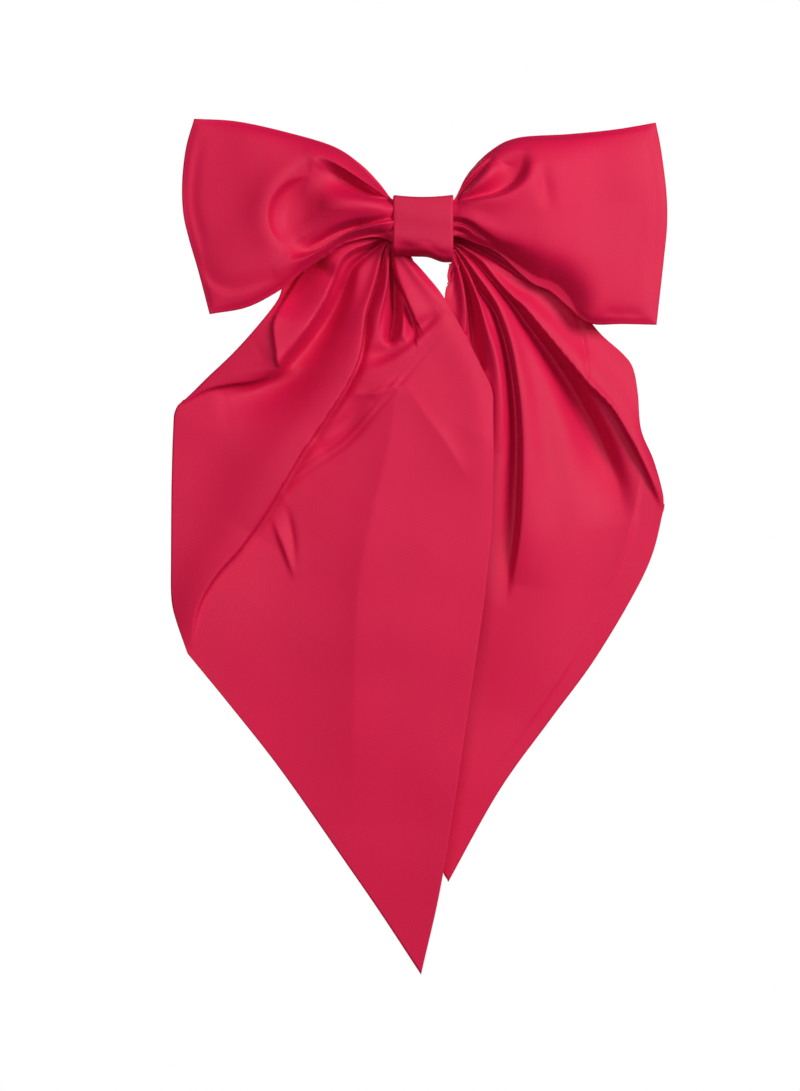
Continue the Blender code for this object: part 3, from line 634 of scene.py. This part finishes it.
def lie(surface, root_depth, down_rows):
    """How far forward a tail lies before its folds, from a few rows of depths given from outer to inner."""
    columns = surface.shape[1]
    middle = surface[:, columns // 2]
    down = np.concatenate([[0], np.cumsum(np.linalg.norm(np.diff(middle, axis=0), axis=1))])
    down /= down[-1]
    across = np.linspace(0, 1, columns)
    lines = np.array([profile(across, row) for _, row in down_rows])
    places = np.array([place for place, _ in down_rows])
    depth = np.stack([np.interp(down, places, lines[:, c]) for c in range(columns)], axis=1)
    settle = smoothstep(down / 0.12)[:, None]
    return root_depth + (depth - root_depth) * settle


def pressed_edge(flat, edges):
    """How the double cloth thins towards its sewn edges, as a share of its thickness."""
    thinnest, softness = 0.35, 3.0
    nearest = np.minimum.reduce([edge_distance(flat, edge) for edge in edges])
    return thinnest + (1 - thinnest) * np.sqrt(np.clip(nearest / softness, 0, 1))


def left_tail_folds(cloth):
    # The strip that comes down from the knot in front of the triangular back layer.
    strip = [
        (-13, -4.5), (-22, -7.5), (-30, -10.5), (-34.5, -14.5), (-38, -22), (-42.5, -32), (-48.5, -42.3),
        (-54.5, -51), (-61, -58.8),
    ]
    strip_lift = [0.8, 1.6, 2.6, 3.2, 3.4, 3.2, 2.8, 2.0, 1.0]
    cloth.fold(strip, strip_lift, [0.8, 1.0, 1.3, 1.4, 1.4, 1.2, 1.0], [2.5, 4, 7, 9, 9, 7, 5], lip=1.3)
    cloth.fold(
        [(-57, -26), (-61, -34), (-63, -44), (-61.4, -58.6)], [0.5, 3.4, 5.6, 4.6], [12], [20],
        power=1.2,
    )
    cloth.fold([(-47, -14), (-54, -20.5), (-59, -30), (-62, -37)], [-6, -7, -5, 0], [12], [10])
    hidden_side = [
        (-62.3, -52), (-63.2, -45), (-62.9, -39.5), (-58, -29), (-50, -17), (-36, -7.5), (-24, -2.5),
    ]
    cloth.layer([*strip, *hidden_side], 2.8, 1.0)
    foot = [(-60.8, -59.3), (-65.2, -62.2), (-72, -64.2), (-81, -65.4), (-90.7, -67.6), (-100, -72.5)]
    cloth.fold(foot, [2.2, 3.0, 3.0, 2.6, 2.0, 1.0], [0.8], [8, 9, 6], lip=1.0, power=1.4)
    # The hollow between the strip and the flap.
    hollow = [
        (-16.3, -5.4), (-22.5, -10.5), (-29.5, -16.5), (-33, -24), (-37.5, -34), (-44, -44.5), (-51.5, -54),
        (-60, -63), (-70, -68.8), (-82, -71.5),
    ]
    hollow_lift = [-1, -2.4, -5.0, -7.2, -8.2, -8.0, -7.0, -5.4, -3.6, -1.4]
    cloth.fold(hollow, hollow_lift, [1, 2, 4.5, 7, 9, 10, 9], [0.8, 1.4, 2.4, 3, 3.4, 3.6, 4])
    # The flap's S-shaped edge, which lies over the main panel from the knot to the hem's outer corner.
    flap_edge = [
        (-13.4, -4.4), (-16.2, -8.3), (-18.5, -14.4), (-20.6, -22.2), (-23, -30.6), (-24.9, -37),
        (-25.8, -43),
        (-26.9, -50), (-28.8, -57), (-31.6, -63), (-35.5, -70), (-40, -76.5), (-46, -85.5), (-53, -95.5),
        (-60, -107.5), (-67.5, -120), (-77, -133.4), (-87.8, -146.2), (-94.4, -159), (-97.4, -176),
    ]
    flap_lift = [0.8, 1.6, 2.4, 3.4, 4.4, 5.4, 6.0, 6.2, 6.0, 5.6, 5.0, 4.2, 2.6, 0]
    flap_fall = [0.6, 0.8, 0.9, 1.0, 1.1, 1.2, 1.2, 1.2, 1.2, 1.4]
    cloth.fold(flap_edge, flap_lift, flap_fall, [1.2, 3, 8, 14, 20, 22, 18, 11], lip=2.0)
    under_flap = [
        (-15.2, -7.8), (-16.8, -14), (-18.6, -22.2), (-21.2, -29.5), (-23.4, -36), (-24.0, -43),
        (-25.0, -50),
        (-27.2, -58), (-31, -65.5), (-38.4, -77), (-48, -91.5), (-58, -107.5), (-66, -120.5), (-76, -134.5),
    ]
    under_lift = [-1, -2.6, -3.4, -3.4, -3.0, -2.6, -2.2, -2.0, -1.8, -1.6, -1.4, -1.2, -0.8, 0]
    cloth.fold(under_flap, under_lift, [0.8, 1.6, 2.6, 3.4, 4, 4], [0.9, 1.2])
    cloth.fold([(-90, -84), (-88, -105), (-88, -130), (-92, -150)], [0, -0.8, -0.8, 0], 13, 13)
    # The narrow pleats between the flap and the inner roll.
    pleat = [
        (-14.3, -6.1), (-15.1, -12.8), (-15.2, -19.4), (-16, -26), (-17.6, -33.3), (-19.2, -40),
        (-20.6, -48),
    ]
    cloth.fold(
        pleat, [0.8, 2.0, 2.8, 3.0, 2.6, 1.8, 0.4], [0.7, 0.8, 1.0, 1.4, 2.4], [0.8, 1.2, 2.2, 3.2],
        lip=0.6,
    )
    teardrop = [(-13.7, -10), (-13.0, -19.4), (-12.2, -27), (-12.0, -34), (-12.7, -41), (-13.6, -46.5)]
    cloth.fold(
        teardrop, [-1.5, -5.0, -7.6, -9.0, -8.8, -6.6], [0.8, 1.7, 2.8, 3.2, 3.0, 2.2],
        [0.7, 1.3, 2.0, 2.2, 2.0],
    )
    cloth.fold([(-11.2, -20), (-9.4, -30), (-8.4, -38), (-8.4, -46)], [0, 1.2, 1.8, 1.0], 2.0, 1.5)
    roll_edge = [(-13.2, -12.5), (-10.7, -20.6), (-7.3, -27.6), (-4.5, -34.2), (-2.3, -39.6)]
    cloth.fold(roll_edge, [1.2, 2.4, 2.8, 2.6, 1.4], [2, 4, 6, 7], [0.7], lip=1.0, power=1.7)
    beside_roll = [(-13.2, -11.5), (-11.4, -20.4), (-8.2, -28.0), (-5.6, -34.6), (-3.8, -40.5), (-3.2, -46)]
    cloth.fold(beside_roll, [-0.6, -2.6, -4.2, -4.6, -4.0, -1.8], [0.8, 0.9], [1, 2, 3, 3.6])
    cloth.fold(
        [(-12.2, -7), (-5.2, -17), (2.4, -26.5), (7.6, -33)], [1.4, 2.4, 2.2, 0.8], [1.4, 3.0], [2, 4]
    )
    cloth.fold([(-2.6, -43), (2, -40.0), (6.4, -36)], [-1.4, -1.8, -0.2], 2.6, 3.4)
    # The ends of the pleats, where the cloth spreads to a flat panel, and the band pressed across it.
    band = [(10, -36), (1.5, -44.6), (-7.9, -53), (-17.9, -58.6), (-28, -61.5)]
    cloth.fold(band, [0.2, 1.2, 1.6, 1.2, 0.5], [7, 9], [1.8], power=1.5)
    cloth.fold([(-27, -55), (-18, -53.5), (-9, -50.5)], [0, -1.8, -0.6], 3.5, 3.5)
    cloth.fold([(-32, -69.3), (-22, -70.0), (-12.2, -67)], [0, 1.0, 0.8], [1.2], [2.4], power=1.4)
    pressed = [
        (10.4, -42), (-1.2, -55.6), (-11.5, -67.8), (-22.3, -80.7), (-32.3, -91.3), (-43, -98.6),
        (-57, -108.5),
    ]
    cloth.fold(pressed, [0, -0.7, -0.6, -0.5, -0.6, -0.7, -0.3], [0.9], [0.8], power=1.4)
    beside = [(x - 2.2, z + 1.8) for x, z in pressed]
    cloth.fold(beside, [0, -0.6, -0.5, -0.3, -0.4, -0.5, -0.2], [0.8], [0.8], power=1.4)
    cloth.fold([(-24, -73), (-32, -83), (-42, -90)], [-1.0, -3.2, -2.2], 5, 5)
    facet = [(-11, -68), (-14.5, -92), (-20, -115), (-26.2, -146), (-28, -173), (-29, -212), (-29.5, -250)]
    cloth.fold(facet, [0.8, 2.6, 2.8, 2.4, 1.9, 1.4, 0], [26, 34], [9, 12, 14], power=1.15)
    cloth.fold(
        [(-7, -67), (1.2, -79), (9, -89.5), (20, -108)], [0.3, 1.1, 1.1, 0], [2, 4], [5, 9], power=1.2
    )
    # A small tuck below the end of the double line.
    cloth.fold(
        [(-63, -121), (-61, -127), (-57.5, -136), (-53.4, -148)], [0, 1.5, 1.8, 0], [4, 6], [0.9],
        power=1.3,
    )
    cloth.fold([(-58, -113), (-54.6, -128.6), (-52.9, -146)], [0.4, -1.4, 0], [1.2], [3.0], power=1.3)
    cloth.fold([(-60, -171), (-35, -172), (-5, -170), (15, -169)], [0, 0.5, 0.5, 0], 14, 12)
    # The panel rises towards the flap's lower end.
    cloth.fold(
        [(-72, -128), (-84, -147), (-94, -168), (-106, -194), (-116, -220)], [0, 3.4, 5.0, 5.0, 4.0],
        [30], [12],
    )
    cloth.fold([(8, -40), (20, -64), (24, -90), (22, -150)], [0.8, 1.0, 0.6, 0], 5, 7)
    cloth.ripple(0.24, 50, 21)


def right_tail_folds(cloth):
    # Narrow pleats beside the gap.
    cloth.fold([(12.6, -16), (12.8, -22), (12.6, -28)], [0, -1.2, -0.4], 1.3, 1.6)
    first = [(12.6, -11.7), (14.9, -19), (16.5, -26), (17.5, -34), (17.6, -44)]
    cloth.fold(first, [0.2, 2.0, 3.0, 2.8, 1.8], [0.9], [1, 2, 3], lip=0.4)
    gap = [(13.3, -11.1), (17.3, -22.2), (19.4, -33.3), (20.6, -44.4), (22.0, -51), (24.4, -58.5)]
    cloth.fold(
        gap, [-1, -3.8, -6.2, -7.0, -6.0, -2.6], [0.7, 1.5, 2.7, 3.4, 3.0, 2.0],
        [0.6, 0.8, 1.0, 1.2, 1.6],
    )
    second = [
        (13.1, -9.7), (16.4, -14.4), (20, -22.2), (23, -30.6), (26.4, -41.7), (29.9, -52.8),
        (31.8, -64), (32.5, -78),
        (31.5, -95),
    ]
    second_lift = [0.8, 2.2, 3.0, 3.2, 3.2, 3.0, 2.4, 1.4, 0]
    cloth.fold(second, second_lift, [0.7, 1.2, 1.8, 2.6, 3, 3], [0.8, 1.4, 2.4, 3.2, 4, 4])
    # The long hollow, whose far side rises sharply to the broad ridge.
    hollow = [
        (13.2, -9.0), (19.5, -18.3), (24, -26.4), (28.8, -32.4), (31.8, -38), (34.3, -45), (36.1, -52),
        (37.5, -60),
        (38.7, -70), (39.6, -80), (40.0, -95), (38.8, -123), (35.8, -146), (34.2, -158),
    ]
    hollow_lift = [-0.8, -3.0, -5.0, -6.4, -6.8, -6.6, -6.2, -6.0, -5.8, -5.6, -5.0, -3.6, -1.8, 0]
    cloth.fold(
        hollow, hollow_lift, [0.6, 0.8, 0.9, 1.0, 1.2, 1.4, 1.6, 2],
        [0.8, 1.4, 2.4, 3.0, 4.2, 6.0, 7, 6],
    )
    ridge = [
        (13.3, -8.3), (17.5, -12.8), (21.9, -18.9), (27.5, -26.7), (31.6, -33.5), (33.8, -40),
        (36.1, -47.2),
        (37.6, -53), (39.0, -60), (40.2, -66.5), (41.4, -78), (42, -97), (41.2, -125), (38, -150),
    ]
    ridge_lift = [0.8, 2.0, 2.8, 3.4, 4.0, 4.4, 4.8, 4.8, 4.8, 4.6, 4.4, 3.8, 2.2, 0]
    cloth.fold(ridge, ridge_lift, [1.5, 3, 5, 8, 10, 12], [0.7, 0.9, 1.1, 1.3, 1.5, 1.8], lip=0.4)
    # The deep channel inside the turned outer edge.
    channel = [
        (13.5, -7.5), (20.8, -13.2), (25.8, -18.6), (31.4, -24.8), (37.6, -32), (43.6, -39.8),
        (49.4, -47.2),
        (55.4, -55.2), (61.4, -64), (67.2, -73.5), (72.8, -84), (78, -96), (82, -109), (84, -124),
    ]
    channel_lift = [-0.6, -2.0, -3.0, -4.4, -6.2, -7.6, -8.6, -9.6, -10.4, -10.4, -9.0, -6.0, -2.6, 0]
    cloth.fold(
        channel, channel_lift, [0.7, 0.9, 1.2, 1.6, 2.4, 3, 4, 5],
        [0.8, 1.2, 2, 3.6, 5.6, 8, 10.5, 12.5, 13],
    )
    # The turned edge, and the broad flat face to its right.
    edge = [
        (12.8, -6.7), (18, -9.8), (25, -14.8), (31.8, -23), (37, -28.6), (42.6, -33.3), (48.3, -40),
        (53.8, -46.6),
        (59.4, -53.3), (65, -60), (70, -65.8), (79.9, -75.6), (87.4, -88), (93.6, -100), (100.5, -116),
    ]
    edge_lift = [0.8, 1.8, 2.6, 3.6, 4.4, 4.8, 5.2, 5.6, 5.8, 6.0, 6.0, 5.6, 4.6, 3.0, 0.4]
    cloth.fold(edge, edge_lift, [1, 2, 4, 7, 9, 8, 4, 3], [0.7, 0.9, 1.0, 1.1, 1.2], lip=0.8)
    cloth.fold([(66, -58), (74, -66.5), (82, -76), (88, -88)], [0, -1.6, -1.6, 0], [6], [1.0], power=1.5)
    # Small pleats beside the loop.
    cloth.fold(
        [(12.6, -4.8), (20, -8.2), (30, -13.6), (40, -20), (47, -24.6)], [-0.8, -2.2, -2.2, -1.4, 0],
        0.9, 0.8,
    )
    upper = [
        (12.6, -5.6), (17.5, -8.6), (23.1, -11.9), (28.6, -15.2), (34.2, -18.7), (39.7, -22),
        (46, -25.8),
    ]
    cloth.fold(upper, [0.6, 1.2, 1.4, 1.2, 1.0, 0.8, 0], 0.9, [1, 2, 3])
    # Pressed lines in the back layer and inside the hem.
    cloth.fold([(65.0, -37), (67.3, -47), (69.2, -62)], [-0.5, -0.9, -0.7], [0.9], [2.4], power=1.3)
    cloth.fold(
        [(91.5, -104), (88.2, -123), (83.6, -138), (77, -152)], [0.3, 0.8, 0.7, 0], [1.0], [3.5],
        power=1.3,
    )
    cloth.fold([(74, -162), (60, -185), (45, -207), (30, -228)], [0, 0.6, 0.6, 0], [0.9], [2.6], power=1.3)
    cloth.fold([(60, -95), (58, -125), (50, -165), (36, -205)], [0, 1.8, 1.4, 0], 14, 14)
    cloth.fold([(26, -160), (24, -190), (18, -225)], [0, -1.0, 0], 7, 9)
    cloth.ripple(0.24, 46, 33)


def build_tail(name, node, surface, lift, folds, edges):
    """A tail's cloth, with its folds laid on, in place of the CAD tail."""
    cloth = Cloth(surface, lift)
    folds(cloth)
    mesh = sheet_mesh(name, cloth.points(), TAIL_THICKNESS * MM, pressed_edge(surface, edges))
    piece = new_piece(name, mesh, satin)
    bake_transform(piece)
    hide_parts(node)
    return piece


def build_tails():
    surface = tail_surface(LEFT_ROOT, LEFT_HEM, LEFT_OUTER, LEFT_INNER, 154, 320)
    depths = [
        (0.00, [12, 12, 12, 12]),
        (0.12, [10.0, 12, 14, 15]),
        (0.25, [9.5, 13, 17, 19]),
        (0.45, [9.5, 14, 18, 19]),
        (0.75, [12, 15, 17, 18]),
        (1.00, [14, 15, 16, 16]),
    ]
    lift = lie(surface, ROOT_LIFT, depths)
    edges = [LEFT_OUTER[2:], LEFT_INNER[2:], LEFT_HEM]
    left = build_tail(
        "left_tail_cloth", "tail_left", surface, lift, left_tail_folds, edges
    )

    surface = tail_surface(RIGHT_ROOT, RIGHT_HEM, RIGHT_OUTER, RIGHT_INNER, 150, 310)
    depths = [
        (0.00, [12, 12, 12, 12]),
        (0.12, [12.5, 12, 11.5, 11]),
        (0.30, [11.5, 12, 11, 10]),
        (0.60, [8.5, 10, 10, 9]),
        (1.00, [9, 9, 9, 9]),
    ]
    lift = lie(surface, ROOT_LIFT, depths)
    edges = [RIGHT_OUTER[2:], RIGHT_INNER[5:], RIGHT_HEM]
    right = build_tail(
        "right_tail_cloth", "tail_right", surface, lift, right_tail_folds, edges
    )


# Knot ----------------------------------------------------------------------------------------------


def build_knot_band():
    """The strip round the knot: a flat front, edges folded under, and a slack lower fold.

    Its corners are given from the side, as (distance forward, height).
    """
    around, across = 180, 40
    half_width, thickness = 12.5, 0.9
    core_depth, rounded_edge = 14.5, 0.8
    corners = [
        (25.6, 10.7), (25.8, 4), (25.4, -3.0), (25.0, -6.4), (23.9, -8.9), (21.6, -11.2),
        (15, -12.6), (9, -11.6), (5.2, -7.6), (4.4, -5), (4.3, 0), (4.4, 5), (5.2, 7.6), (9, 10.9),
        (16, 11.3), (22.5, 11.6),
    ]
    ring = smooth_line([*corners, corners[0]], around + 1)[:-1]
    x = np.linspace(-1, 1, across)
    points = np.zeros((around, across, 3))
    for i, (forward, height) in enumerate(ring):
        front = smoothstep((forward - 14) / 8)
        low = smoothstep((-height - 1.5) / 5) * smoothstep((forward - 10) / 8)
        top = smoothstep((height - 6) / 4) * front
        sag = (0.9 * x**2 - 0.5) * top
        droop = (-3.4 * smoothstep((x + 0.35) / 1.35) + 0.28 * np.sin(7 * x + 0.5)) * low
        tuck = 0.7 * np.sin(5.5 * x + 1.2) * smoothstep((-height - 7) / 3) * front
        crown = 0.3 * (1 - x**2) * front
        slack = 0.12 * np.sin(0.5 * height + 1.4 * x) * front
        points[i, :, 0] = x * half_width
        points[i, :, 1] = -(forward + crown + slack + tuck)
        points[i, :, 2] = height + sag + droop
    outer = points * MM
    middle = np.array([0, -core_depth, 0]) * MM
    inward = middle - outer
    inward[..., 0] = 0
    inward /= np.linalg.norm(inward, axis=2)[..., None]
    edge = np.clip((1 - np.abs(x)) * half_width / rounded_edge, 0, 1)
    rounding = (1 - np.sqrt(1 - (1 - edge) ** 2)) * 0.42 * thickness
    outer = outer + inward * (rounding * MM)[None, :, None]
    inner = outer + inward * ((thickness - rounding) * MM)[None, :, None]
    count = around * across
    faces = grid_faces(around, across, closed=True)
    index = np.arange(count).reshape(around, across)
    after = np.roll(index, -1, axis=0)
    left = np.stack([index[:, 0], index[:, 0] + count, after[:, 0] + count, after[:, 0]], axis=1)
    right = np.stack([index[:, -1], after[:, -1], after[:, -1] + count, index[:, -1] + count], axis=1)
    every_point = np.concatenate([outer.reshape(-1, 3), inner.reshape(-1, 3)])
    every_face = np.concatenate([faces, faces[:, ::-1] + count, left, right])
    mesh = closed_mesh("knot_strip", every_point, every_face.tolist())
    # The strip wears the darker satin copy, whose colour is painted shade.
    piece = new_piece("knot_strip", mesh, band_satin_painted_shade)
    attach(piece, "bow")
    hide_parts("knot_band")


def build_tail_gather():
    """The pleated middle of the tail strip, inside the knot."""
    low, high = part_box("tail_gather")
    centre, half = (low + high) / 2, (high - low) / 2
    around, along = 96, 20
    turn = np.linspace(0, 2 * math.pi, around, endpoint=False)
    c, s = np.cos(turn), np.sin(turn)
    reach = (np.abs(c) ** 5 + np.abs(s) ** 5) ** (-1 / 5)
    pleats = 1 - 0.07 * (0.5 + 0.5 * np.cos(14 * turn))
    points = np.zeros((along, around, 3))
    for i, t in enumerate(np.linspace(-1, 1, along)):
        squeeze = 1 - 0.10 * abs(t) ** 8
        points[i, :, 0] = centre.x + t * half.x
        points[i, :, 1] = centre.y + half.y * c * reach * pleats * squeeze
        points[i, :, 2] = centre.z + half.z * s * reach * pleats * squeeze
    index = np.arange(along * around).reshape(along, around)
    after = np.roll(index, -1, axis=1)
    sides = np.stack([index[:-1], after[:-1], after[1:], index[1:]], axis=-1).reshape(-1, 4)
    faces = [tuple(face) for face in sides.tolist()]
    faces += [tuple(index[0, ::-1].tolist()), tuple(index[-1].tolist())]
    piece = new_piece("tail_middle", closed_mesh("tail_middle", points.reshape(-1, 3), faces), satin)
    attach(piece, "bow")
    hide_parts("tail_gather")


# Carried-over nodes --------------------------------------------------------------------------------


def finish_cad_nodes():
    """Gives the pieces that keep their CAD shape their finished materials."""
    looks = {
        thread: ["gather_thread", "band_stitches"],
        glue: ["glue_pad"],
        steel: [
            "backing_plate", "hinge_pin", "clasp_arm", "tension_bar", "catch_base", "catch_rivet",
            "catch_prong_upper", "catch_prong_lower",
        ],
    }
    for material, nodes in looks.items():
        for node in nodes:
            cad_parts[node].material_slots[0].material = material


# Stage ---------------------------------------------------------------------------------------------

# Watts.
KEY_POWER = 22.5
FILL_POWER = 10
BACK_POWER = 24
# The white world's strength where the camera doesn't see it directly.
AMBIENT = 0.12
# Metres.
FLOOR_HALF_SIZE = 2.8
FLOOR_HEIGHT = -1.0
LIGHT_TARGET = (0, 0, -0.12)
CAMERA_PLACE = Vector((-9.6, -1091, -133.5)) * MM


def add_area_light(name, place, size, power):
    """A round soft light, aimed at the middle of the bow."""
    light = bpy.data.lights.new(name, "AREA")
    light.shape = "DISK"
    light.size = size
    light.energy = power
    lamp = bpy.data.objects.new(name, light)
    bpy.context.scene.collection.objects.link(lamp)
    lamp.location = place
    lamp.rotation_euler = (Vector(LIGHT_TARGET) - Vector(place)).to_track_quat("-Z", "Y").to_euler()


def build_stage():
    """White world, pale floor, soft lights and the camera."""
    scene = bpy.context.scene
    scene.view_settings.view_transform = "Standard"

    world = bpy.data.worlds.new("studio")
    world.use_nodes = True
    tree = world.node_tree
    background = tree.nodes["Background"]
    background.inputs["Color"].default_value = (1, 1, 1, 1)
    seen = add_node(tree, "ShaderNodeLightPath")
    strength = add_node(tree, "ShaderNodeMapRange", **{"To Min": AMBIENT, "To Max": 1.0})
    tree.links.new(seen.outputs["Is Camera Ray"], strength.inputs["Value"])
    tree.links.new(strength.outputs["Result"], background.inputs["Strength"])
    scene.world = world

    floor_mesh = bpy.data.meshes.new("floor")
    shape = bmesh.new()
    bmesh.ops.create_grid(shape, x_segments=1, y_segments=1, size=FLOOR_HALF_SIZE)
    shape.to_mesh(floor_mesh)
    shape.free()
    floor = bpy.data.objects.new("floor", floor_mesh)
    floor.location.z = FLOOR_HEIGHT
    # The floor is seen but throws no light on the bow.
    floor.visible_diffuse = False
    floor.visible_glossy = False
    scene.collection.objects.link(floor)
    pale, _, shader = new_material("pale_floor", (0.2, 0.2, 0.2), 0.9)
    shader.inputs["Emission Color"].default_value = (1, 1, 1, 1)
    shader.inputs["Emission Strength"].default_value = 0.82
    floor_mesh.materials.append(pale)

    add_area_light("key", (0.98, -1.12, 0.32), 0.7, KEY_POWER)
    add_area_light("fill", (-0.30, -1.45, 0.30), 1.0, FILL_POWER)
    add_area_light("back", (-0.50, 1.30, 0.30), 1.0, BACK_POWER)

    camera = bpy.data.cameras.new("camera")
    camera.lens = 85
    camera.sensor_width = 36
    eye = bpy.data.objects.new("camera", camera)
    scene.collection.objects.link(eye)
    eye.location = CAMERA_PLACE
    eye.rotation_euler = (math.pi / 2, 0, 0)
    scene.camera = eye


# Assembly ------------------------------------------------------------------------------------------

build_panel()
build_tails()
build_knot_band()
build_tail_gather()
finish_cad_nodes()
build_stage()
